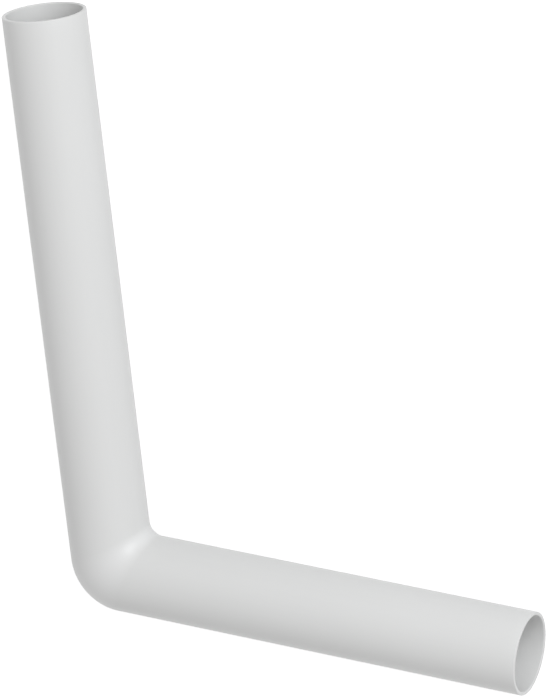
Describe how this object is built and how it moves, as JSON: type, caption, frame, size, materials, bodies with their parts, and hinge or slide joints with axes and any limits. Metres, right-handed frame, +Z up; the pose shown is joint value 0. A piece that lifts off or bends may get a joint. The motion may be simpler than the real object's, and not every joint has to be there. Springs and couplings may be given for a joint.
{
  "type": "bath overflow pipe",
  "caption": "Thin-walled white plastic tube with a tight bend and plain open ends that carries water from a bath's overflow outlet to its waste.",
  "frame": {"origin": "centre of the bounding box seen from above, on the surface the tube lies on", "axes": "+Z up, square to the plane of the bend; +Y along the long leg towards its open end; the short leg runs towards +X and leans 8 degrees to -Y"},
  "size_m": [0.2386, 0.328, 0.04],
  "materials": {
    "pipe": "satin, as extruded"
  },
  "bodies": {
    "root": {"pipe": "pipe"}
  },
  "joints": []
}
